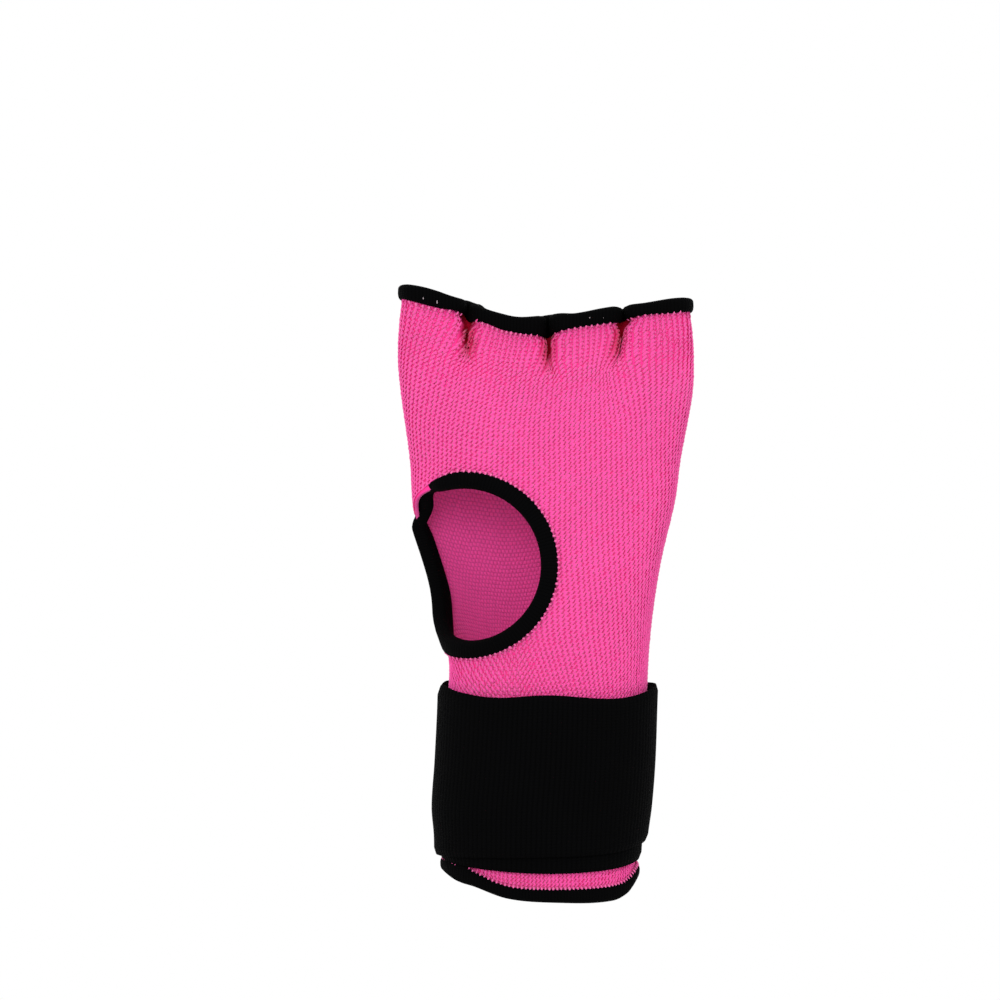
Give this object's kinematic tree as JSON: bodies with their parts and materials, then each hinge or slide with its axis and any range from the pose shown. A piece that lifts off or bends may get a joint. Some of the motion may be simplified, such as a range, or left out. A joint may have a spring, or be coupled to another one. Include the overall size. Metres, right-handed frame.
{
  "type": "boxing inner glove",
  "caption": "Fingerless knitted boxing inner glove for the left hand in its worn shape, with black bound edges, an open thumb hole and a wound elastic wrist strap.",
  "frame": {"origin": "middle of the wrist opening, level with the lowest point of the hem", "axes": "+Z along the hand towards the fingers, -Y out of the palm, -X towards the thumb side, +Y out of the back of the hand"},
  "size_m": [0.0884, 0.0482, 0.1825],
  "materials": {
    "knit": "bright pink ribbed double knit, matt with a soft sheen",
    "binding_tape": "black folded knitted tape, matt",
    "elastic": "black woven elastic with fine ribs, matt",
    "hook_fabric": "black woven backing of a hook fastener, matt"
  },
  "bodies": {
    "root": {"knit_sleeve": "knit", "finger_binding": "binding_tape", "thumb_binding": "binding_tape", "cuff_binding": "binding_tape", "wrist_strap": "elastic", "closure_tab": "hook_fabric"}
  },
  "joints": []
}
